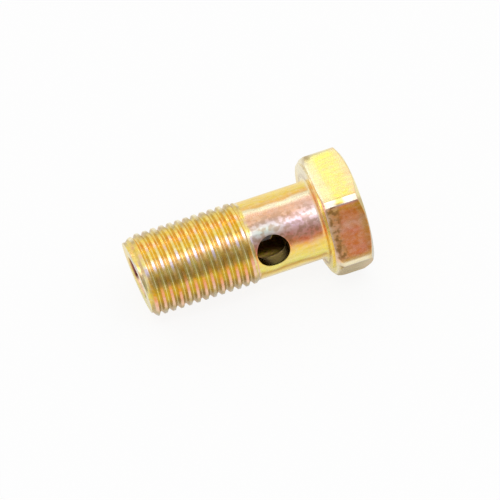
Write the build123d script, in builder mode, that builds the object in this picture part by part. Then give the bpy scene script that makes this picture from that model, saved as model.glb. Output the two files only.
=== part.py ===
"""Banjo bolt, M10 x 1.0 with a 14 mm hexagon: a hollow screw that clamps a ring
fitting and feeds fluid through it. Cold headed, turned, drilled and thread rolled from one
steel bar, so it is one solid. It lies at rest on a flat of its head and on its threaded tip.

Millimetres. +Z is up and +X runs along the bolt from the tip to the head.
The origin is on the ground, under the middle of the bolt's bounding box.
Distances called "from the tip" are measured along the bolt's own axis.
"""
from build123d import *
from math import atan2, cos, degrees, radians, sin, sqrt, tan
import os

# Lengths along the axis, from the tip
seat_from_tip = 21.85          # washer face, which presses on the sealing washer
thread_length = 13.05          # threaded part, tip to the last full crest
cross_hole_from_tip = 15.5     # middle of the cross hole, just past the thread

# Thread: M10 x 1.0, right-handed. The solid is plain over its crests
thread_diameter = 9.88
runout_length = 0.35           # short cone from the last crest down to the shank

# Tip: turned chamfer, and the end face as the bar was sheared
tip_chamfer_radial = 0.57
tip_chamfer_axial = 1.0
tip_skew = 5.5                 # degrees that the sheared end face is out of square
tip_skew_direction = 115       # side that stands proud, degrees above level on the -Y side

# Plain shank, as thick as the blank that the thread was rolled on
shank_diameter = 9.36
neck_fillet = 0.45             # inside corner between shank and washer face

# Head: a 14 mm hexagon at the small end of its tolerance, with well-rounded corners
across_flats = 13.7
corner_rounding = 0.8
head_height = 4.9              # washer face to top
top_chamfer_diameter = 13.2    # circle left on top by the 30 degree chamfer
top_chamfer_angle = 30

# Underside of the head: the heading die stood a little off the bolt's axis
die_offset = 0.33
die_direction = 130            # degrees above level on the -Y side
washer_face_diameter = 12.8
washer_face_height = 0.2       # that it stands proud of the hexagon
underside_radius = 6.9         # where the rounding of the lower corners starts
rounding_reach = 8.1           # radius and height at which the rounding has faded out
rounding_height = 2.25
rounding_arc = 2.7

# Drillings
bore_diameter = 5.0
bore_mouth_chamfer = 0.2
drill_overrun = 1.0            # how far outside the tip the cut starts
bore_depth = 17.9              # full diameter, a little past the cross hole
drill_point_angle = 118
cross_hole_diameter = 3.9
cross_hole_lean = 26           # degrees above level, on the -Y side

# Radii and stations worked out from the sizes above
thread_radius = thread_diameter / 2
shank_radius = shank_diameter / 2
tip_radius = thread_radius - tip_chamfer_radial
flat_radius = across_flats / 2
corner_radius = (flat_radius - corner_rounding) / cos(radians(30)) + corner_rounding
top_radius = top_chamfer_diameter / 2
bore_radius = bore_diameter / 2
runout_end = thread_length + runout_length
hex_start = seat_from_tip + washer_face_height
rounding_end = hex_start + rounding_height
total_length = seat_from_tip + head_height
top_chamfer_drop = (corner_radius - top_radius) * tan(radians(top_chamfer_angle))
drill_point_height = bore_radius / tan(radians(drill_point_angle / 2))

# The flat underneath starts where the rounding of the underside, on its own axis, meets it
die_rise = die_offset * sin(radians(die_direction))
rounding_sag = rounding_arc - (rounding_reach - flat_radius - die_rise)
flat_start = rounding_end - sqrt(rounding_arc**2 - rounding_sag**2)

# Rest pose: the lower edge of one flat and the first full crest both touch the ground
lean = atan2(flat_radius - thread_radius, flat_start - tip_chamfer_axial)
tip_height = thread_radius * cos(lean) - tip_chamfer_axial * sin(lean)
along = Vector(cos(lean), 0, sin(lean))


def outward(degrees_above_level):
    """Direction square to the bolt's axis, turned up from level on the -Y side."""
    return Vector(0, -1, 0).rotate(Axis((0, 0, 0), along), -degrees_above_level)


# The end face leans back from the side that stands proud
end_normal = (along + outward(tip_skew_direction) * tan(radians(tip_skew))).normalized()
end_reach = tip_radius * sqrt(1 - end_normal.X**2)
mid_x = (total_length * cos(lean) + top_radius * sin(lean) - end_reach) / 2
tip_centre = Vector(-mid_x, 0, tip_height)
die_centre = tip_centre + outward(die_direction) * die_offset

bolt_axis = Axis(tip_centre, along)
die_axis = Axis(die_centre, along)
across = Plane(origin=tip_centre, x_dir=(0, 1, 0), z_dir=along)    # section of the bolt
lengthwise = Plane(origin=tip_centre, x_dir=along, z_dir=(0, -1, 0))    # x along, y outward
die_lengthwise = Plane(origin=die_centre, x_dir=along, z_dir=(0, -1, 0))
end_plane = Plane(origin=tip_centre, x_dir=(0, 1, 0), z_dir=end_normal)

# Hexagon, with its top corners chamfered about the bolt's axis and its lower corners
# rounded about the die's
with BuildPart() as hexagon:
    with BuildSketch(across.offset(hex_start)) as hexagon_section:
        RegularPolygon(flat_radius, 6, major_radius=False)
        fillet(hexagon_section.vertices(), corner_rounding)
    extrude(amount=total_length - hex_start)
    with BuildSketch(lengthwise):
        with BuildLine():
            Polyline(
                (hex_start, 0),
                (hex_start, corner_radius),
                (total_length - top_chamfer_drop, corner_radius),
                (total_length, top_radius),
                (total_length, 0),
                close=True,
            )
        make_face()
    revolve(axis=bolt_axis, mode=Mode.INTERSECT)
    with BuildSketch(die_lengthwise):
        with BuildLine():
            RadiusArc((hex_start, underside_radius), (rounding_end, rounding_reach), rounding_arc)
            Polyline(
                (rounding_end, rounding_reach),
                (total_length, rounding_reach),
                (total_length, 0),
                (hex_start, 0),
                (hex_start, underside_radius),
            )
        make_face()
    revolve(axis=die_axis, mode=Mode.INTERSECT)

with BuildPart() as banjo_bolt:
    # Tip: from the skewed end face to the first full crest
    with BuildSketch(end_plane):
        Circle(tip_radius)
    with BuildSketch(across.offset(tip_chamfer_axial)):
        Circle(thread_radius)
    loft(ruled=True)

    # Thread, its runout and the turned shank with its neck fillet
    with BuildSketch(lengthwise):
        with BuildLine():
            Polyline(
                (tip_chamfer_axial, 0),
                (tip_chamfer_axial, thread_radius),
                (thread_length, thread_radius),
                (runout_end, shank_radius),
                (seat_from_tip - neck_fillet, shank_radius),
            )
            RadiusArc(
                (seat_from_tip - neck_fillet, shank_radius),
                (seat_from_tip, shank_radius + neck_fillet),
                neck_fillet,
            )
            Polyline(
                (seat_from_tip, shank_radius + neck_fillet),
                (seat_from_tip, 0),
                (tip_chamfer_axial, 0),
            )
        make_face()
    revolve(axis=bolt_axis)

    # Washer face on the underside of the head
    with BuildSketch(die_lengthwise):
        with Locations(((seat_from_tip + hex_start) / 2, washer_face_diameter / 4)):
            Rectangle(washer_face_height, washer_face_diameter / 2)
    revolve(axis=die_axis)
    add(hexagon.part)

    # Blind bore from the tip, with its drill point, and the chamfer at its mouth
    with BuildSketch(lengthwise):
        with BuildLine():
            Polyline(
                (-drill_overrun, 0),
                (-drill_overrun, bore_radius),
                (bore_depth, bore_radius),
                (bore_depth + drill_point_height, 0),
                close=True,
            )
        make_face()
    revolve(axis=bolt_axis, mode=Mode.SUBTRACT)
    tip_face = banjo_bolt.faces().filter_by(GeomType.PLANE).sort_by(bolt_axis)[0]
    chamfer(tip_face.inner_wires().edges(), bore_mouth_chamfer)

    # Cross hole, drilled right through both walls into the bore
    hole_centre = tip_centre + along * cross_hole_from_tip
    hole_direction = outward(cross_hole_lean)
    with BuildSketch(Plane(origin=hole_centre, x_dir=along, z_dir=hole_direction)):
        Circle(cross_hole_diameter / 2)
    extrude(amount=thread_radius, both=True, mode=Mode.SUBTRACT)

banjo_bolt.part.label = "banjo_bolt"
os.makedirs("parts", exist_ok=True)
export_step(banjo_bolt.part, "parts/banjo_bolt.step")

box = banjo_bolt.part.bounding_box()
print(f"axis lean {degrees(lean):.2f} degrees, volume {banjo_bolt.part.volume:.1f} mm3")
print(f"cross hole points to {tuple(round(c, 3) for c in hole_direction)}")
print(f"box {box.min} to {box.max}")
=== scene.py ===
"""Banjo bolt, M10 x 1.0 with a 14 mm hexagon, in steel with a yellow-passivated zinc coat.

The bolt is one piece of steel, so it is one closed mesh. Each part of its surface is a grid
over two numbers: the distance along the bolt's axis from its tip, and the angle about that
axis. Sizes of the bolt are in millimetres until place() turns them to metres.
"""
from math import atan2, cos, pi, radians, sin, sqrt, tan

import bmesh
import bpy
import numpy as np
from mathutils import Matrix, Vector


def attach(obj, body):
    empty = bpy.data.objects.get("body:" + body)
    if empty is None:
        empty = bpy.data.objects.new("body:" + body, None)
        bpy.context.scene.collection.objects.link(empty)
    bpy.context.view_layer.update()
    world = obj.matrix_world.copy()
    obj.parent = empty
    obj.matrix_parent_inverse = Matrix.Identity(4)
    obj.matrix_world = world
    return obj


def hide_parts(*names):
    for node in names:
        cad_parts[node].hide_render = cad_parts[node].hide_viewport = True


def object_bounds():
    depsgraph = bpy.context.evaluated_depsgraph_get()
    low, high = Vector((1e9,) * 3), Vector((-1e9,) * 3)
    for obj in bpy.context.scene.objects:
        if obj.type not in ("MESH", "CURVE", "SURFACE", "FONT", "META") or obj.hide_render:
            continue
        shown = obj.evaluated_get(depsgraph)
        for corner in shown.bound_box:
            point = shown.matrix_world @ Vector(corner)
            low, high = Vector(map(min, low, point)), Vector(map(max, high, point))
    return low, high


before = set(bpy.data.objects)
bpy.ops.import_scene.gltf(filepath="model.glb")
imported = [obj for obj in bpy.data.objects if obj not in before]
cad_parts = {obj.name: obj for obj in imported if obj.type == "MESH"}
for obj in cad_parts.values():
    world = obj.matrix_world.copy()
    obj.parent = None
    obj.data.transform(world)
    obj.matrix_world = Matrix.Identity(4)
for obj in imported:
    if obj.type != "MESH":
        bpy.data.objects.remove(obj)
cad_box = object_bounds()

scene = bpy.context.scene
scene.view_settings.view_transform = "Standard"


# ---------------------------------------------------------------- camera
# A long lens looks down at the bolt from beyond its threaded end, 0.6 m away. It has no
# shift, roll or depth of field.
sensor_width = 36.0
lens = 372.9
camera_distance = 0.600
camera_azimuth, camera_elevation = -19.421, 50.227
camera_target = (0.000305, -0.000791, 0.005376)


def aimed(distance, azimuth, elevation, target):
    """Matrix of a camera or lamp at this distance from the target, looking at it.

    Azimuth 0 stands on the -Y side, and both angles are in degrees. Its own Z axis points
    back from the target: (sin a cos e, -cos a cos e, sin e).
    """
    a, e = radians(azimuth), radians(elevation)
    right = Vector((cos(a), sin(a), 0))
    back = Vector((sin(a) * cos(e), -cos(a) * cos(e), sin(e)))
    turn = Matrix((right, back.cross(right), back)).transposed().to_4x4()
    return Matrix.Translation(Vector(target) + distance * back) @ turn


def add_to_scene(name, data):
    """Wraps a mesh, camera or lamp in an object and links it to the scene."""
    thing = bpy.data.objects.new(name, data)
    scene.collection.objects.link(thing)
    return thing


camera = bpy.data.cameras.new("camera")
camera.sensor_fit = "HORIZONTAL"
camera.sensor_width = sensor_width
camera.lens = lens
camera.clip_start = 0.01
camera.clip_end = 20
camera_object = add_to_scene("camera", camera)
camera_object.matrix_world = aimed(
    camera_distance, camera_azimuth, camera_elevation, camera_target)
scene.camera = camera_object


# ---------------------------------------------------------------- floor and studio light
# A white table under a wide overhead panel and a slim lamp behind the bolt. The open front
# of the studio is a dark cloth, curved about the bolt, that only reflections see.
floor_half = 3.0
floor_white = 0.95
floor_glow = 0.88                # share of plain white to the camera; the rest takes shadow
floor_glow_reflected = 0.50      # and this share to the metal
room_strength = 1.0              # as it falls on the table
wall_strength = 1.1              # as the metal reflects it
lamp_distance = 0.60
overhead_power, overhead_size, overhead_elevation = 0.53, (0.70, 0.12), 73
back_power, back_size, back_elevation = 0.10, (0.60, 0.030), 51
cloth_distance, cloth_half_length = 0.9, 1.2
cloth_low, cloth_high = 3, 52    # degrees of elevation that it covers
cloth_strips = 12                # flat strips that its curve is made of
cloth_colour = (0.46, 0.46, 0.46, 1)


def new_tree(name):
    """Material with an empty node tree and its output."""
    material = bpy.data.materials.new(name)
    material.use_nodes = True
    tree = material.node_tree
    tree.nodes.clear()
    return material, tree, tree.nodes.new("ShaderNodeOutputMaterial")


floor_mesh = bpy.data.meshes.new("floor")
floor_corners = np.array(((-1, -1, 0), (1, -1, 0), (1, 1, 0), (-1, 1, 0))) * floor_half
floor_mesh.from_pydata(floor_corners.tolist(), [], [(0, 1, 2, 3)])
floor = add_to_scene("floor", floor_mesh)

# The table glows by floor_glow to the camera and by floor_glow_reflected in the metal
floor_material, tree, output = new_tree("white_table")
path = tree.nodes.new("ShaderNodeLightPath")
to_camera = tree.nodes.new("ShaderNodeMath")
to_camera.operation = "MULTIPLY"
to_camera.inputs[1].default_value = floor_glow
tree.links.new(path.outputs["Is Camera Ray"], to_camera.inputs[0])
share = tree.nodes.new("ShaderNodeMath")
share.operation = "MULTIPLY_ADD"
share.inputs[1].default_value = floor_glow_reflected
tree.links.new(path.outputs["Is Glossy Ray"], share.inputs[0])
tree.links.new(to_camera.outputs[0], share.inputs[2])
matt = tree.nodes.new("ShaderNodeBsdfDiffuse")
matt.inputs["Color"].default_value = (floor_white, floor_white, floor_white, 1)
glow = tree.nodes.new("ShaderNodeEmission")
mix = tree.nodes.new("ShaderNodeMixShader")
tree.links.new(share.outputs[0], mix.inputs["Fac"])
tree.links.new(matt.outputs[0], mix.inputs[1])
tree.links.new(glow.outputs[0], mix.inputs[2])
tree.links.new(mix.outputs[0], output.inputs["Surface"])
floor_mesh.materials.append(floor_material)

# The room is plain white to the camera, and a little brighter in the metal than on the table
world = bpy.data.worlds.new("studio")
scene.world = world
world.use_nodes = True
tree = world.node_tree
tree.nodes.clear()
output = tree.nodes.new("ShaderNodeOutputWorld")
path = tree.nodes.new("ShaderNodeLightPath")
room = tree.nodes.new("ShaderNodeBackground")
room.inputs["Strength"].default_value = room_strength
walls = tree.nodes.new("ShaderNodeBackground")
walls.inputs["Strength"].default_value = wall_strength
backdrop = tree.nodes.new("ShaderNodeBackground")
reflected = tree.nodes.new("ShaderNodeMixShader")
mix = tree.nodes.new("ShaderNodeMixShader")
tree.links.new(path.outputs["Is Glossy Ray"], reflected.inputs["Fac"])
tree.links.new(room.outputs[0], reflected.inputs[1])
tree.links.new(walls.outputs[0], reflected.inputs[2])
tree.links.new(path.outputs["Is Camera Ray"], mix.inputs["Fac"])
tree.links.new(reflected.outputs[0], mix.inputs[1])
tree.links.new(backdrop.outputs[0], mix.inputs[2])
tree.links.new(mix.outputs[0], output.inputs["Surface"])


def panel_lamp(name, power, size, azimuth, elevation):
    """Rectangular lamp that faces the bolt, with its long side level."""
    lamp = bpy.data.lights.new(name, "AREA")
    lamp.shape = "RECTANGLE"
    lamp.size, lamp.size_y = size
    lamp.energy = power
    lamp_object = add_to_scene(name, lamp)
    lamp_object.matrix_world = aimed(lamp_distance, azimuth, elevation, (0, 0, 0))


panel_lamp("overhead_panel", overhead_power, overhead_size, 0, overhead_elevation)
panel_lamp("back_lamp", back_power, back_size, 180, back_elevation)

rise = np.radians(np.linspace(cloth_low, cloth_high, cloth_strips + 1))
side = np.array((-1, 1))[:, None] * cloth_half_length
cloth_points = np.stack(
    np.broadcast_arrays(side, -cloth_distance * np.cos(rise), cloth_distance * np.sin(rise)), -1)
cloth_faces = [(i, i + 1, i + cloth_strips + 2, i + cloth_strips + 1) for i in range(cloth_strips)]
cloth_mesh = bpy.data.meshes.new("dark_cloth")
cloth_mesh.from_pydata(cloth_points.reshape(-1, 3).tolist(), [], cloth_faces)
cloth = add_to_scene("dark_cloth", cloth_mesh)
cloth.visible_camera = False
cloth.visible_diffuse = False
cloth.visible_shadow = False
cloth_material, tree, output = new_tree("dark_cloth")
dark = tree.nodes.new("ShaderNodeEmission")
dark.inputs["Color"].default_value = cloth_colour
tree.links.new(dark.outputs[0], output.inputs["Surface"])
cloth_mesh.materials.append(cloth_material)


# ---------------------------------------------------------------- threaded end
# M10 x 1.0 right-hand thread, rolled into the shank, so its crests stand above the plain
# metal and its last groove fades out. The blank was sheared from bar, so its end is askew.
# The bolt rests on its first full crest and on one flat of its head.
thread_radius = 4.94
thread_end = 13.05
runout = 0.35
pitch = 1.0
groove_depth = 0.47              # a full groove would be 0.61
crest_flat = 0.27                # of one crest, along the axis
crest_softness, root_softness = 0.07, 0.40    # shares of the depth that are rounded
cone_groove = 0.16               # what the first groove takes off the chamfered tip
cone_softness = 0.03             # where the crests meet that chamfer
crest_wear = 0.035               # how much lower the crests are in places
flank_angle = radians(30)
crest_phase = 0.827              # first crest on the -Y side, from the tip
fade_start = 12.75               # where the grooves begin to run out
shank_radius = 4.68
tip_radius = 4.37                # of the end face
tip_chamfer = 1.0                # from the tip to the first full crest
tip_skew = radians(5.5)
tip_skew_side = radians(115)     # this side of the end face stands proud

seat = 21.85                     # head: face that presses on the sealing washer
washer_face_height = 0.2
head_height = 4.9
flat_radius = 6.85               # axis to a flat of the hexagon
top_radius = 6.6                 # circle that the chamfer leaves on top
die_offset = 0.33                # the washer face and the rounding stand this far off axis
die_side = radians(130)
rounding_arc = 2.7               # of the hexagon's lower corners, about the die's axis
rounding_reach = 8.1             # radius and height at which it has faded out
rounding_height = 2.25

# Zinc plate under a thin film of yellow chromate. The film's colour turns with its
# thickness, from yellow over rose and violet to olive, in bands round the bolt. Each band
# is the angle in degrees where the film has that colour.
honey = (0.97, 0.79, 0.28)
gold = (0.99, 0.74, 0.21)
amber = (0.98, 0.58, 0.20)
ochre = (0.93, 0.45, 0.09)
cream = (0.95, 0.85, 0.58)
peach = (0.97, 0.66, 0.46)
salmon = (0.97, 0.58, 0.39)
coral = (0.98, 0.46, 0.28)
brass = (0.88, 0.58, 0.18)
lilac = (0.80, 0.68, 0.74)
bronze = (0.64, 0.38, 0.09)
olive = (0.60, 0.45, 0.19)
straw = (0.93, 0.82, 0.42)
moss = (0.88, 0.68, 0.18)
buff = (0.84, 0.62, 0.34)
steel = (0.62, 0.58, 0.46)
umber = (0.34, 0.17, 0.05)
crest_bands = (
    (-30, steel), (-15, olive), (-6, peach), (3, salmon), (15, coral), (24, ochre), (32, bronze),
    (38, bronze), (46, brass), (51, buff), (56, lilac), (62, lilac), (67, cream), (71, honey),
    (79, honey), (86, peach), (93, gold), (104, gold), (115, olive), (130, cream), (165, gold),
    (190, amber), (220, gold), (245, olive), (270, gold), (305, amber))
root_bands = (
    (-28, olive), (-8, olive), (4, moss), (20, moss), (30, straw), (46, straw), (56, buff),
    (67, buff), (74, gold), (86, gold), (98, amber), (108, gold), (120, moss), (133, olive),
    (165, amber), (190, ochre), (220, gold), (245, bronze), (270, gold), (305, ochre))
drift_along, drift_by_turn = radians(4), radians(6)    # how far the bands stray
flanks_from, roots_from = (0.03, 0.25), (0.60, 0.92)   # depths where the next colour comes in
shade_to_tip, shade_below = 0.2, 0.3    # painted shade in umber on the flanks that face the tip, and more low in front
shade_side = (18, 28, 38, 48)

hex_start = seat + washer_face_height
rounding_end = hex_start + rounding_height
head_top = seat + head_height
rounding_sag = rounding_arc - (rounding_reach - flat_radius - die_offset * sin(die_side))
flat_start = rounding_end - sqrt(rounding_arc**2 - rounding_sag**2)
lean = atan2(flat_radius - thread_radius, flat_start - tip_chamfer)
tip_height = thread_radius * cos(lean) - tip_chamfer * sin(lean)
tip_x = cad_box[1][0] * 1000 - head_top * cos(lean) - top_radius * sin(lean)
tip_centre = np.array((tip_x, 0, tip_height))
along = np.array((cos(lean), 0, sin(lean)))
level = np.array((0, -1, 0))
upward = np.array((-sin(lean), 0, cos(lean)))


def place(s, r, theta):
    """Point at distance s from the tip and r from the axis, at angle theta, in metres.

    Theta is 0 on the -Y side and a quarter turn on top:
    tip centre + s along + r (cos(theta) level + sin(theta) upward).
    """
    out = np.cos(theta)[..., None] * level + np.sin(theta)[..., None] * upward
    return (tip_centre + s[..., None] * along + r[..., None] * out) / 1000


# Columns of the grids: even over each flat of the head, and closer at its corners
flat_half_angle, flat_columns, corner_columns = 25.5, 27, 13
sector = np.concatenate((
    np.linspace(-flat_half_angle, flat_half_angle, flat_columns, endpoint=False),
    np.linspace(flat_half_angle, 60 - flat_half_angle, corner_columns, endpoint=False)))
turn = (np.arange(-90, 270, 60)[:, None] + sector).ravel()
theta = np.radians(np.append(turn, turn[0] + 360))
points, own, film, tears, faces = [], [], [], [], []


def add_grid(s, r, theta, colour, torn=0.0, keep=None, facing="out"):
    """Adds a grid of surface points and its quads, and returns the points' numbers.

    Rows run along the metal from tip to head and columns turn up, so the quads face out of
    the metal. In the bore and round a hole they run the other way, facing "in". Quads
    where keep is False are left out. Colour is the film's, and torn says how rough the
    tools left the metal, from 0 to 1.
    """
    s, r, theta, torn = np.broadcast_arrays(s, r, theta, torn)
    number = sum(len(p) for p in points) + np.arange(s.size).reshape(s.shape)
    points.append(place(s, r, theta).reshape(-1, 3))
    own.append(np.stack((s, r * np.cos(theta), r * np.sin(theta)), -1).reshape(-1, 3))
    film.append(np.broadcast_to(colour, s.shape + (3,)).reshape(-1, 3))
    tears.append(torn.ravel())
    quads = np.stack((number[:-1, :-1], number[1:, :-1], number[1:, 1:], number[:-1, 1:]), -1)
    if facing == "in":
        quads = quads[..., ::-1]
    if keep is not None:
        quads = quads[keep]
    faces.extend(quads.reshape(-1, 4).tolist())
    return number


def soft_min(a, b, width):
    """The smaller of a and b, with the corner between them rounded over about width."""
    return 0.5 * (a + b - np.sqrt((a - b) ** 2 + width**2))


def smooth_step(x, start, end):
    """0 before start, 1 after end, and 3t^2 - 2t^3 between them."""
    t = np.clip((x - start) / (end - start), 0, 1)
    return t * t * (3 - 2 * t)


def on_side(theta, start, whole, fading, end):
    """1 between two angles and 0 away from them, with soft edges, all four in degrees."""
    return (smooth_step(theta, radians(start), radians(whole))
            * (1 - smooth_step(theta, radians(fading), radians(end))))


def around(bands, theta):
    """Colour at each angle, which goes evenly from one band to the next round the bolt."""
    angles = [angle for angle, _ in bands]
    colours = np.array([colour for _, colour in bands])
    return np.stack([np.interp(np.degrees(theta), angles, colours[:, k], period=360)
                     for k in range(3)], -1)


def blended(first, second, share):
    """First where share is 0, second where it is 1: first + (second - first) share."""
    return first + (np.asarray(second) - first) * np.asarray(share)[..., None]


def waver(s, theta, seed):
    """Slow uneven waves over the surface, about -1 to 1, as the mean of four sines."""
    return sum(np.sin(turns * theta + rate * s + seed * turns * rate) / 4
               for turns, rate in ((2, 1.1), (5, 0.7), (3, 2.3), (7, 1.9)))


def groove(f):
    """Share of the groove's depth at phase f of a pitch: 0 on a crest, 1 in a root.

    The flank is a straight ramp from the edge of the crest's flat, rounded a little where
    it leaves the crest and more in the root. It is held at 0, so no crest stands too high.
    """
    from_crest = np.abs(f - np.round(f)) * pitch
    ramp = (from_crest - crest_flat / 2) / (groove_depth * tan(flank_angle))
    return np.maximum(soft_min(-soft_min(-ramp, 0.0, crest_softness), 1.0, root_softness), 0)


def end_face_s(r, theta):
    """Where the skewed end face lies: s = -r tan(skew) cos(theta - proud side)."""
    return -r * tan(tip_skew) * np.cos(theta - tip_skew_side)


def end_radius(theta):
    """Distance from the axis of the round end face's edge, which is a circle in its own plane."""
    return tip_radius / np.hypot(1, tan(tip_skew) * np.cos(theta - tip_skew_side))


def thread_surface(h, theta):
    """Distance, radius and depth of the thread, at helix number h and angle theta.

    h counts pitches along the helix: s = (h - theta / 2 pi) pitch, held between the end
    face and the end of the runout. The radius is that of the crests less the groove, and
    no more than the chamfer at the tip allows.
    """
    start = end_face_s(end_radius(theta), theta)
    end = thread_end + runout
    s = np.clip((h - theta / (2 * pi)) * pitch, start, end)
    crest = thread_radius - (thread_radius - shank_radius) * np.clip((s - thread_end) / runout, 0, 1)
    not_faded = 1 - smooth_step(s, fade_start, end)
    depth = groove(s / pitch + theta / (2 * pi) - crest_phase) * not_faded
    up_cone = (s - start) / (tip_chamfer - start)
    cone = end_radius(theta) + (thread_radius - end_radius(theta)) * up_cone
    cone = cone - cone_groove * depth * smooth_step(up_cone, 0, 0.3)
    past_tip = smooth_step(s, tip_chamfer, 2 * tip_chamfer)
    worn = crest_wear * (0.5 + 0.5 * waver(s, 2 * theta, 0.9)) * past_tip
    r = crest - groove_depth * depth - worn * (1 - depth) * not_faded
    r = np.where(s < 2 * tip_chamfer, soft_min(r, cone, cone_softness), r)
    return s, r, depth


first_turn, last_turn = -1, 14   # helix numbers from before the tip to past the runout
half_pitch_rows = np.array((0.08, 0.14, 0.18, 0.24, 0.31, 0.38, 0.44))
pitch_rows = np.concatenate((-half_pitch_rows[::-1], (0,), half_pitch_rows, (0.5,)))
helix = (np.arange(first_turn, last_turn + 1)[:, None] + pitch_rows + crest_phase).ravel()[:, None]
s, r, depth = thread_surface(helix, theta)

# The bands stray slowly along the thread, and to and fro from one turn to the next
phase = s / pitch + theta / (2 * pi) - crest_phase
drift = drift_along * waver(s, theta, 1.7) + drift_by_turn * np.sin(2.4 * np.round(phase) + 1)
# Painted shade: umber on the flanks that face the tip, and more low in front
brown = shade_to_tip * (phase < np.round(phase)) + shade_below * on_side(theta, *shade_side)
root_colour = around(root_bands, theta - drift)
colour = blended(around(crest_bands, theta + drift), blended(root_colour, umber, brown),
                 smooth_step(depth, *flanks_from))
colour = blended(colour, root_colour, smooth_step(depth, *roots_from))
add_grid(s, r, theta, colour)


# ---------------------------------------------------------------- end face and bore
# The bore is drilled blind from the tip, past the cross hole, and ends in the drill's
# point. Its mouth has a small chamfer.
bore_radius = 2.5
bore_depth = 17.9
mouth_chamfer = 0.2
drill_half_angle = radians(59)
drill_point = bore_radius / tan(drill_half_angle)
bore_wall_start = 0.8            # first row of its wall past the mouth, from the tip
bore_step = 0.8                  # between rows, up to the cross hole
cone_rows = 8                    # in the end face, and in the drill's point
edge_insets = (0.0, 0.012, 0.04)    # rows that lead over the edge of the end face
face_inset = 0.10
mouth_starts, mouth_ends = (0.0, 0.12), (2.0, 4.5)    # where the mouth's film comes and goes
rough_from = (0.5, 2.0)          # the drill left its wall rougher further in
bore_red_shade = (0.26, 0.06, 0.07)    # the film's dark red inside the mouth of the bore, deepened by painted shade
# Round the mouth: peach on the lower wall, where light comes in, and painted shade in umber and dark
# red on the rest
mouth_bands = (
    (-125, peach), (-80, peach), (-62, umber), (-40, bore_red_shade), (145, bore_red_shade), (225, bore_red_shade))
drill_oil = (0.30, 0.21, 0.01)   # oily steel in the drillings
# painted shade, nearly black, where the drillings are out of the light
shade_black = (0.02, 0.012, 0.01)
# In the drillings: oily steel on the lower side, painted shade on the rest
oil_and_shade_bands = ((-165, shade_black), (-120, drill_oil), (-20, drill_oil), (40, shade_black))
lemon = (0.93, 0.83, 0.25)
end_face_bands = (
    (-75, lemon), (-45, straw), (0, cream), (50, cream), (85, steel), (110, straw), (180, gold))

hole_s = 15.5                    # middle of the cross hole
hole_radius = 1.95
hole_angle = radians(26)
hole_margin = 0.16               # of the openings left in the grids round the hole
block_rows = 17                  # grid rows across such an opening

before_tip = -9.0                # a helix number that is held on the end face's edge
edge_s, edge_r, _ = thread_surface(before_tip, theta)
edge_r = edge_r - np.array(edge_insets)[:, None]
face_r = np.linspace(tip_radius - face_inset, bore_radius + mouth_chamfer, cone_rows)[:, None]
block_s = np.linspace(-1, 1, block_rows) * (hole_radius + hole_margin) + hole_s
wall_s = np.concatenate((
    np.arange(bore_wall_start, block_s[0] - bore_step / 4, bore_step), block_s, (bore_depth,)))
point_s = np.linspace(bore_depth, bore_depth + drill_point, cone_rows)[1:, None]
point_r = np.linspace(bore_radius, 0, cone_rows)[1:, None]


def every_column(*rows):
    """Stacks rows of values, each spread over all the columns."""
    return np.concatenate([np.broadcast_to(row, (len(row), len(theta))) for row in rows])


bore_s = every_column(
    edge_s[None].repeat(len(edge_r), 0), end_face_s(face_r, theta),
    end_face_s(bore_radius, theta)[None] + mouth_chamfer, wall_s[:, None], point_s)
bore_r = every_column(edge_r, face_r, np.full((1 + len(wall_s), 1), bore_radius), point_r)
below_face = bore_s - end_face_s(bore_radius, theta)
in_mouth = smooth_step(below_face, *mouth_starts) * (bore_r < bore_radius + mouth_chamfer / 2)
colour = blended(around(end_face_bands, theta), around(mouth_bands, theta), in_mouth)
colour = blended(colour, around(oil_and_shade_bands, theta), smooth_step(bore_s, *mouth_ends))
block_row = len(edge_r) + len(face_r) + len(wall_s) - len(block_s)


def block_columns(angle, half_turn):
    """First and last column of the opening round a hole at this angle."""
    return np.searchsorted(theta, angle - half_turn) - 1, np.searchsorted(theta, angle + half_turn)


def without_blocks(shape, row, half_turn):
    """True for each quad of a grid outside the openings round both ends of the cross hole."""
    keep = np.ones((shape[0] - 1, shape[1] - 1), bool)
    for angle in (hole_angle, hole_angle + pi):
        first, last = block_columns(angle, half_turn)
        keep[row:row + len(block_s) - 1, first:last] = False
    return keep


bore_half_turn = np.arcsin(hole_radius / bore_radius) + radians(4)
add_grid(bore_s, bore_r, theta, colour, smooth_step(bore_s, *rough_from), facing="in",
         keep=without_blocks(bore_s.shape, block_row, bore_half_turn))


# ---------------------------------------------------------------- shank and cross hole
# Plain shank, as thick as the blank that the thread was rolled on. The cross hole is
# drilled right through both walls into the bore, and its edges are slightly rounded.
neck_fillet = 0.45
rim_rounding, far_rim_rounding = 0.14, 0.05    # of the cross hole's edges
rim_steps, lead_steps, wall_steps = 5, 5, 4    # over an edge, up to it, and down the wall
plain_rows = 14                  # from the cross hole to the neck

silver = (0.46, 0.54, 0.46)      # plain zinc, where the film was rubbed off
blush = (0.98, 0.78, 0.80)       # thin film by the neck
rubbed_spot = (15.1, 59), (2.9, 12)    # middle and half width, along the bolt and in degrees
blush_spot = (21.2, 63), (1.6, 16)
stain_side, stain_share = (26, 36, 70, 88), 0.55
rose = (0.84, 0.54, 0.50)
mulberry = (0.82, 0.46, 0.44)
violet = (0.74, 0.50, 0.66)
orchid = (0.88, 0.62, 0.66)
maroon = (0.88, 0.36, 0.25)
terracotta = (0.99, 0.36, 0.17)
hole_bands = (                   # by bearing about the hole's own axis, with painted shade where the wall is out of the light
    (-90, drill_oil), (0, drill_oil), (60, shade_black), (120, shade_black), (180, drill_oil))
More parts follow.
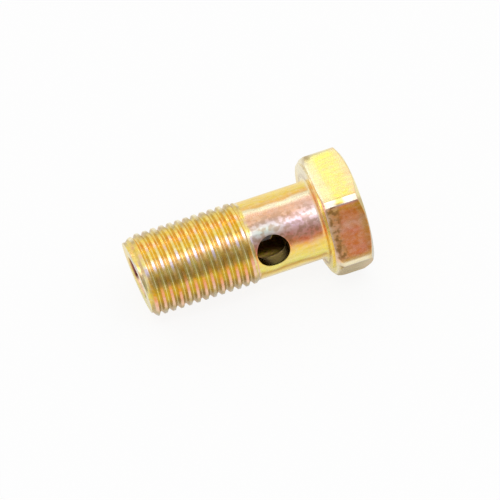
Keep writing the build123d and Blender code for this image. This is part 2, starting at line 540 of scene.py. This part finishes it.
# The far end's wall is painted shade all round
far_hole_shade = ((0, shade_black),)
shank_bands = (
    (-28, cream), (-17, gold), (-10, bronze), (-3, lemon), (14, gold), (22, amber),
    (30, terracotta), (38, maroon), (50, mulberry), (58, violet), (66, orchid), (74, salmon),
    (86, salmon), (92, cream), (96, cream), (100, amber), (112, gold), (133, gold), (160, gold),
    (185, amber), (200, rose), (225, gold), (250, lemon), (275, amber), (305, gold))


def spot(s, theta, middle, half):
    """Share of a soft spot: exp(-(distance / half width)^2 - (angle / half width)^2)."""
    turned = np.degrees(theta) - middle[1]
    return np.exp(-((s - middle[0]) / half[0]) ** 2 - (turned / half[1]) ** 2)


def shank_film(s, theta):
    """Colour of the plain shank: its bands, the blush and the rubbed place above the hole."""
    colour = around(shank_bands, theta + radians(3.5) * waver(s, theta, 1.7))
    colour = blended(colour, blush, 0.95 * spot(s, theta, *blush_spot))
    return blended(colour, silver, 0.9 * spot(s, theta, *rubbed_spot))


def stained(theta):
    """Share of brown stain on the shank, along its upper front."""
    return stain_share * on_side(theta, *stain_side)


shank_half_turn = np.arcsin(hole_radius / shank_radius) + radians(6)
block_s_shank = np.concatenate(((thread_end + runout,), block_s[1:]))
shank_s = np.concatenate((
    block_s_shank, np.linspace(block_s[-1], seat - neck_fillet, plain_rows)[1:]))[:, None]
add_grid(shank_s, shank_radius, theta, shank_film(shank_s, theta), stained(theta),
         keep=without_blocks((len(shank_s), len(theta)), 0, shank_half_turn))


def border(first, last, rows):
    """Distances and angles of the grid points round an opening, in one closed loop."""
    up = theta[first:last + 1]
    down = up[::-1]
    s = np.concatenate((
        rows, np.full(len(up) - 2, rows[-1]), rows[::-1], np.full(len(up) - 1, rows[0])))
    t = np.concatenate((
        np.full(len(rows), up[0]), up[1:-1], np.full(len(rows), up[-1]), down[1:]))
    return s, t


def hole_rings(s, t, angle, radius, rounding, into, steps_in):
    """Rings of points from an opening's border to the hole and over its rounded edge.

    A point of the hole's wall stands at bearing b about the hole's own axis, rho from it
    and h out from the bolt's axis, so s = hole_s + rho cos(b), w = rho sin(b),
    r = |(h, w)| and theta = angle + atan(w / h). The surface itself is at
    h = sqrt(radius^2 - w^2), and over the edge, at turn a, rho is
    hole_radius + rounding (1 - sin(a)). Into is -1 where the hole leads inwards and 1
    outwards, and steps_in more rings lead down the wall.
    """
    bearing = np.arctan2(radius * np.sin(t - angle), s - hole_s)
    turn = np.radians(np.linspace(0, 90, rim_steps + 1))[:, None]
    rho = hole_radius + rounding * (1 - np.sin(turn))
    w = rho * np.sin(bearing)
    h = np.sqrt(radius**2 - w**2) + into * rounding * (1 - np.cos(turn))
    deeper = np.linspace(0, 1, steps_in + 1)[1:, None]
    floor_h = np.sqrt(bore_radius**2 - w[-1] ** 2) + 2 * rim_rounding
    h = np.concatenate((h, h[-1] + (floor_h - h[-1]) * deeper))
    w = np.concatenate((w, w[-1] + 0 * deeper))
    ring_s = hole_s + np.concatenate((rho, hole_radius + 0 * deeper)) * np.cos(bearing)
    ring_r = np.hypot(h, w)
    ring_t = angle + np.arctan2(w, h)
    lead = np.linspace(0, 1, lead_steps + 1)[:-1, None]
    lead_s = s + (ring_s[0] - s) * lead
    lead_t = t + (ring_t[0] - t) * lead
    return (np.concatenate((lead_s, ring_s)), np.concatenate((radius + 0 * lead_s, ring_r)),
            np.concatenate((lead_t, ring_t)), bearing)


def stitch(ring_a, bearing_a, ring_b, bearing_b):
    """Joins two closed rings by a zip of triangles, stepping to whichever point comes next."""
    ring_a = ring_a[np.argsort(bearing_a)]
    ring_b = ring_b[np.argsort(bearing_b)]
    order = np.argsort(np.concatenate((np.sort(bearing_a), np.sort(bearing_b))))
    from_a = order < len(ring_a)
    a = np.cumsum(from_a) - 1
    b = np.cumsum(~from_a) - 1
    step_a = np.stack((ring_a[a - 1], ring_a[a], ring_b[b]), -1)[from_a]
    step_b = np.stack((ring_a[a], ring_b[b], ring_b[b - 1]), -1)[~from_a]
    faces.extend(step_a.tolist() + step_b.tolist())


# Both ends of the hole: angle, rounding, depths between which the film ends, and wall, with painted
# shade; the far wall is all painted shade
for angle, rounding, film_end, wall_bands in (
        (hole_angle, rim_rounding, (0.12, 0.30), hole_bands),
        (hole_angle + pi, far_rim_rounding, (0.0, 0.10), far_hole_shade)):
    s, t = border(*block_columns(angle, shank_half_turn), block_s_shank)
    s, r, t, outer_bearing = hole_rings(s, t, angle, shank_radius, rounding, -1, wall_steps)
    on_wall = smooth_step(shank_radius - r, *film_end)
    colour = blended(shank_film(s, t), around(wall_bands, outer_bearing), on_wall)
    rough = np.maximum(0.3 * on_wall, stained(t) * (1 - on_wall))
    outer = add_grid(s, r, t, colour, rough, facing="in")
    s, t = border(*block_columns(angle, bore_half_turn), block_s)
    s, r, t, inner_bearing = hole_rings(s, t, angle, bore_radius, rim_rounding, 1, 0)
    inner = add_grid(s, r, t, around(oil_and_shade_bands, t), 1.0)
    stitch(outer[-1][:-1], outer_bearing[:-1], inner[-1][:-1], inner_bearing[:-1])


# ---------------------------------------------------------------- head
# Cold-headed hexagon with well-rounded corners. The washer face under it, and the rounding
# of its lower corners, stand about an axis a little off the bolt's, taken as the heading
# die's. A 30 degree chamfer is turned on top.
neck_fillet_rows = 7
washer_face_radius = 6.4
underside_radius = 6.9           # where the rounding of the lower corners starts
keen_side, keen_spread = radians(40), radians(50)    # the lower corners are sharper here
corner_rounding = 0.8
worn_corner, worn_corner_radius = radians(58.8), 7.67    # flattened, as by spanners
pearl = (0.97, 0.82, 0.72)
brick = (0.91, 0.30, 0.12)
old_gold = (0.50, 0.34, 0.04)
flat_bands = (
    (-64, bronze), (-56, old_gold), (-7, old_gold), (-4, umber), (-2, cream), (2, cream),
    (4, amber), (7, terracotta), (25, terracotta), (38, coral), (46, brick), (50, brick),
    (54, ochre), (56, terracotta), (56.8, orchid), (57.5, pearl), (62, pearl), (63.5, gold),
    (72, honey), (100, honey), (116, lemon), (120, cream), (124, gold), (176, amber),
    (180, cream), (184, rose), (236, gold), (240, cream), (244, bronze))
underside_bands = (
    (-60, cream), (-25, lemon), (0, gold), (60, gold), (85, amber), (105, cream), (150, cream),
    (200, gold), (250, amber))
chamfer_slope = tan(radians(30))
sides_rows = 16                  # up the sides of the hexagon
dents = (                        # from the tip, angle, depth (less than 0 stands up), half width
    (24.00, 59.5, -0.06, 0.42), (23.7, 56.6, 0.04, 0.18), (22.75, 118, 0.10, 0.25),
    (25.3, 181, 0.08, 0.22), (24.1, 239, 0.06, 0.18), (25.0, 150, 0.03, 0.35),
    (23.9, 212, 0.04, 0.25), (26.2, 1, 0.05, 0.16))
burr_spot = (22.6, 118), (0.5, 5)    # brown, round the deepest dent
neck_shade_radius, neck_shade_half = 5.25, 0.22    # of a ring of painted shade under the head, round the neck
warm_side, warm_from = (-4, 2, 60, 66), (6.5, 6.9)    # warmer film there, past this radius
kept_middle, kept_half = 24.0, 0.55    # stretch of the worn corner that kept its film
pale_edge = (0.9, 1.5)           # pale film reaches this far up the upper sides
torn_edge = (1.0, 1.6)           # and torn metal this far up the front one
near_top = (1.5, 0.6)            # below the top, where the sides' film changes once more


def hexagon_radius(flat, theta):
    """Distance from the axis to a hexagon with rounded corners, at angle theta.

    On a flat it is flat / cos(a), with a from the middle of the flat. Near a corner it is
    d cos(c) + sqrt(rounding^2 - (d sin(c))^2), with c from the corner and d the distance
    of the rounding's centre from the axis.
    """
    from_flat = np.abs(theta % (pi / 3) - pi / 6)
    from_corner = pi / 6 - from_flat
    centre = (flat - corner_rounding) / cos(pi / 6)
    under_root = corner_rounding**2 - (centre * np.sin(from_corner)) ** 2
    on_corner = centre * np.cos(from_corner) + np.sqrt(np.maximum(under_root, 0))
    corner_starts = atan2((flat - corner_rounding) * tan(pi / 6), flat)
    return np.where(from_flat < corner_starts, flat / np.cos(from_flat), on_corner)


def rounded_profile(corners, rounding, rows):
    """Distances and radii of a profile through corners, each given for every column.

    Between corners the profile is straight, in this many rows. It rounds a corner V from A
    to B, which lie at the distance rounding from it but within 0.45 of each straight, by
    the curve (1-t)^2 A + 2 t (1-t) V + t^2 B.
    """
    corners = [np.stack(np.broadcast_arrays(s, r, theta)[:2]) for s, r in corners]
    t = np.linspace(0, 1, 6)[1:, None, None]
    parts, last = [corners[0][None]], corners[0]
    for k in range(1, len(corners)):
        step = corners[k] - corners[k - 1]
        length = np.hypot(*step) + 1e-9
        here = corners[k]
        if k + 1 < len(corners):
            onward = corners[k + 1] - here
            onward_length = np.hypot(*onward) + 1e-9
            here = here - step / length * np.minimum(rounding[k], 0.45 * length)
            after = corners[k] + onward / onward_length * np.minimum(
                rounding[k], 0.45 * onward_length)
        share = np.linspace(0, 1, rows[k - 1] + 1)[1:, None, None]
        parts.append(last + (here - last) * share)
        if k + 1 < len(corners):
            parts.append((1 - t) ** 2 * here + 2 * t * (1 - t) * corners[k] + t**2 * after)
            last = after
    profile = np.concatenate(parts)
    return profile[:, 0], profile[:, 1]


def about_die(radius, theta):
    """Distance from the bolt's axis to a circle about the die's axis, at angle theta.

    With a measured from the die's side: e cos(a) + sqrt(radius^2 - (e sin(a))^2).
    """
    a = theta - die_side
    return die_offset * np.cos(a) + np.sqrt(radius**2 - (die_offset * np.sin(a)) ** 2)


def from_die(r, theta):
    """Distance from the die's axis of a point at radius r and angle theta."""
    return np.sqrt(r**2 + die_offset**2 - 2 * r * die_offset * np.cos(theta - die_side))


def rounding_s(r, theta):
    """Where the rounding of the lower corners lies, as the arc of a circle about the die.

    Its height is multiplied by 1 - exp(-(angle from the keen side / spread)^2), because the
    corner towards the front is nearly sharp.
    """
    inside_arc = rounding_arc - np.maximum(rounding_reach - from_die(r, theta), 0)
    height = np.maximum(rounding_end - np.sqrt(rounding_arc**2 - inside_arc**2) - hex_start, 0)
    from_keen = (theta - keen_side + pi) % (2 * pi) - pi
    return hex_start + height * (1 - np.exp(-(from_keen / keen_spread) ** 2))


neck_turn = np.radians(np.linspace(0, 90, neck_fillet_rows))[:, None]
neck_s = seat - neck_fillet + neck_fillet * np.sin(neck_turn)
neck_r = shank_radius + neck_fillet * (1 - np.cos(neck_turn))
add_grid(neck_s, neck_r, theta,
         blended(shank_film(neck_s, theta), around(underside_bands, theta), np.sin(neck_turn) ** 2))

full = hexagon_radius(flat_radius, theta)
worn_flat = worn_corner_radius / np.maximum(np.cos(theta - worn_corner), 0.5)
full = np.minimum(full, worn_flat)
rim = about_die(washer_face_radius, theta)
rounding_r = np.minimum(about_die(underside_radius, theta), full)
rounding_r = [rounding_r + (full - rounding_r) * share for share in (0, 0.2, 0.4, 0.6, 0.8)]
head_corners = [
    (seat, shank_radius + neck_fillet),
    (seat, rim),
    (hex_start, rim),
    *[(rounding_s(r, theta), r) for r in rounding_r],
    (rounding_s(full, theta), full),
    (head_top - (full - top_radius) * chamfer_slope, full),
    (head_top, top_radius),
    (head_top, 0.0),
]
edge_roundings = (0, 0.05, 0.03, 0.05, 0.02, 0.02, 0.02, 0.02, 0.10, 0.12, 0.15, 0)
rows_between = (5, 2, 2, 1, 1, 1, 1, 1, sides_rows, 6, 6)
s, r = rounded_profile(head_corners, edge_roundings, rows_between)

# Film under the head, with a ring of painted shade round the neck and a warmer edge towards the
# front
neck_shade = np.exp(-((r - neck_shade_radius) / neck_shade_half) ** 2)
warm = on_side(theta, *warm_side)
under = blended(around(underside_bands, theta), umber, 0.7 * neck_shade)
under = blended(under, blended(cream, peach, warm), smooth_step(r, *warm_from))

# Film on the sides: kept on a stretch of the worn corner, pale along the lower edge of the
# upper ones, and other shades near the top, on the chamfer and on the top face
above_front = smooth_step(theta, radians(56), radians(62))
kept = np.exp(-((s - kept_middle) / kept_half) ** 4)
kept = kept * smooth_step(theta, radians(57), radians(58.5)) * (theta < radians(64))
pale = 1 - smooth_step(s - hex_start + 0.25 * waver(s, theta, 0.6), *pale_edge)
below_top = head_top - s - 0.2 * waver(s, theta, 2.9)
on_chamfer = smooth_step(full - r, 0.02, 0.08) * (s > head_top - 1)
chamfer_front = blended(steel, olive, smooth_step(theta, radians(26), radians(50)))
sides = blended(around(flat_bands, theta), gold, kept)
sides = blended(sides, cream, 0.5 * pale * above_front)
sides = blended(sides, blended(bronze, peach, above_front), 0.5 * smooth_step(below_top, *near_top))
sides = blended(sides, blended(chamfer_front, straw, above_front), on_chamfer)
sides = blended(sides, gold, 1 - smooth_step(r, top_radius - 0.12, top_radius))
colour = blended(under, sides, smooth_step(s, hex_start + 0.1, hex_start + 0.5))

# The die tore the lower edge of the front side
torn = 1 - smooth_step(s - hex_start + 0.3 * waver(s, theta, 4.1), *torn_edge)
torn = torn * smooth_step(s, hex_start, hex_start + 0.3)
torn = torn * smooth_step(theta, radians(3), radians(9)) * (theta < radians(57))
colour = blended(colour, olive, 0.45 * torn)
colour = blended(colour, umber, 0.6 * spot(s, theta, *burr_spot))

# Dents, which fade out at the washer face
for dent_s, angle, deep, half_width in dents:
    across_it = r * (theta - radians(angle))
    hollow = np.exp(-((s - dent_s) ** 2 + across_it**2) / half_width**2)
    r = r - deep * hollow * smooth_step(s, hex_start, hex_start + 0.3)
add_grid(s, r, theta, colour, torn)


# ---------------------------------------------------------------- one closed mesh
# The grids share their border points, which are merged into one skin of the metal.
merge_distance = 1e-6            # metres
crisp_angle = radians(50)        # edges sharper than this are shaded as edges

film = np.concatenate(film)
bolt_mesh = bpy.data.meshes.new("bolt")
bolt_mesh.from_pydata(np.concatenate(points).tolist(), [], faces)
own_place = bolt_mesh.attributes.new("own_place", "FLOAT_VECTOR", "POINT")
own_place.data.foreach_set("vector", np.concatenate(own).ravel())
film_colour = bolt_mesh.attributes.new("film", "FLOAT_COLOR", "POINT")
film_colour.data.foreach_set("color", np.column_stack((film, np.ones(len(film)))).ravel())
bolt_mesh.attributes.new("torn", "FLOAT", "POINT").data.foreach_set("value", np.concatenate(tears))

skin = bmesh.new()
skin.from_mesh(bolt_mesh)
bmesh.ops.remove_doubles(skin, verts=skin.verts, dist=merge_distance)
skin.to_mesh(bolt_mesh)
skin.free()
bolt_mesh.shade_smooth()
bolt_mesh.set_sharp_from_angle(angle=crisp_angle)
bolt = add_to_scene("bolt", bolt_mesh)
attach(bolt, "root")
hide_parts("banjo_bolt")

# How the film and the skin of the metal vary, in values of their noise
hue_range = (0.493, 0.509)       # 0.5 leaves the hue as it is
saturation_range = (1.12, 0.90)
brightness_range = (0.90, 1.06)
blotch_range, blotch_edge = (0.0, 0.85), (0.45, 0.58)
roughness_range, torn_roughness = (0.21, 0.31), 0.12
bump_strength, skin_depth = 0.13, 0.00003
line_depth, pit_depth = 0.5, 2.0    # set against the depth of the grains

zinc, tree, output = new_tree("yellow_zinc")


def node(kind, **settings):
    """Adds a node to the zinc, with these properties set."""
    new = tree.nodes.new(kind)
    for key, value in settings.items():
        setattr(new, key, value)
    return new


def read(name):
    """Node that reads an attribute of the mesh."""
    return node("ShaderNodeAttribute", attribute_name=name)


def noise(place, scale, detail, stretch=(1, 1, 1)):
    """Noise over the bolt's own millimetres, with this many waves to one of them."""
    mapping = node("ShaderNodeMapping")
    mapping.inputs["Scale"].default_value = stretch
    tree.links.new(place, mapping.inputs["Vector"])
    texture = node("ShaderNodeTexNoise")
    texture.inputs["Scale"].default_value = scale
    texture.inputs["Detail"].default_value = detail
    tree.links.new(mapping.outputs[0], texture.inputs["Vector"])
    return texture.outputs["Fac"]


def ranged(noise_value, to_range, from_range=(0.3, 0.7)):
    """A noise carried from its usual range to another, and held inside it."""
    mapped = node("ShaderNodeMapRange")
    tree.links.new(noise_value, mapped.inputs["Value"])
    for key, number in zip(("From Min", "From Max", "To Min", "To Max"), (*from_range, *to_range)):
        mapped.inputs[key].default_value = number
    return mapped.outputs[0]


def arithmetic(operation, a, b):
    """Math node over two values, of which b may be a plain number."""
    result = node("ShaderNodeMath", operation=operation)
    tree.links.new(a, result.inputs[0])
    if isinstance(b, float):
        result.inputs[1].default_value = b
    else:
        tree.links.new(b, result.inputs[1])
    return result.outputs[0]


def tinted(colour, share, tint):
    """Colour with a plain tint blended in by share."""
    mix = node("ShaderNodeMix", data_type="RGBA")
    tree.links.new(share, mix.inputs[0])
    tree.links.new(colour, mix.inputs[6])
    mix.inputs[7].default_value = (*tint, 1)
    return mix.outputs[2]


bolt_place = read("own_place").outputs["Vector"]
film_here = read("film").outputs["Color"]
torn_here = read("torn").outputs["Fac"]

# The film is uneven: its hue turns in patches a millimetre wide, and drawn lines along the
# bolt and small grains make it lighter and darker
patches = noise(bolt_place, 0.9, 2.0, (0.7, 1, 1))
grains = noise(bolt_place, 2.2, 3.0, (0.8, 1, 1))
lines = noise(bolt_place, 3.0, 2.0, (0.12, 1, 1))
shift = node("ShaderNodeHueSaturation")
tree.links.new(ranged(patches, hue_range), shift.inputs["Hue"])
tree.links.new(ranged(grains, saturation_range), shift.inputs["Saturation"])
tree.links.new(ranged(lines, brightness_range), shift.inputs["Value"])
tree.links.new(film_here, shift.inputs["Color"])

# Torn metal is blotched with dark oxide
blotches = noise(bolt_place, 1.9, 2.0)
blotched = arithmetic("MULTIPLY", ranged(blotches, blotch_range, blotch_edge), torn_here)
coat = tinted(shift.outputs[0], blotched, umber)

# Rolled and drawn skin of the steel, with pits where it is torn
skin_height = arithmetic("ADD", grains, patches)
skin_height = arithmetic("ADD", skin_height, arithmetic("MULTIPLY", lines, line_depth))
skin_height = arithmetic("SUBTRACT", skin_height, arithmetic("MULTIPLY", blotched, pit_depth))
bump = node("ShaderNodeBump")
bump.inputs["Strength"].default_value = bump_strength
bump.inputs["Distance"].default_value = skin_depth
tree.links.new(skin_height, bump.inputs["Height"])

metal = node("ShaderNodeBsdfPrincipled")
metal.inputs["Metallic"].default_value = 1
tree.links.new(coat, metal.inputs["Base Color"])
roughness = arithmetic(
    "ADD", ranged(grains, roughness_range), arithmetic("MULTIPLY", torn_here, torn_roughness))
tree.links.new(roughness, metal.inputs["Roughness"])
tree.links.new(bump.outputs[0], metal.inputs["Normal"])
tree.links.new(metal.outputs[0], output.inputs["Surface"])
bolt_mesh.materials.append(zinc)
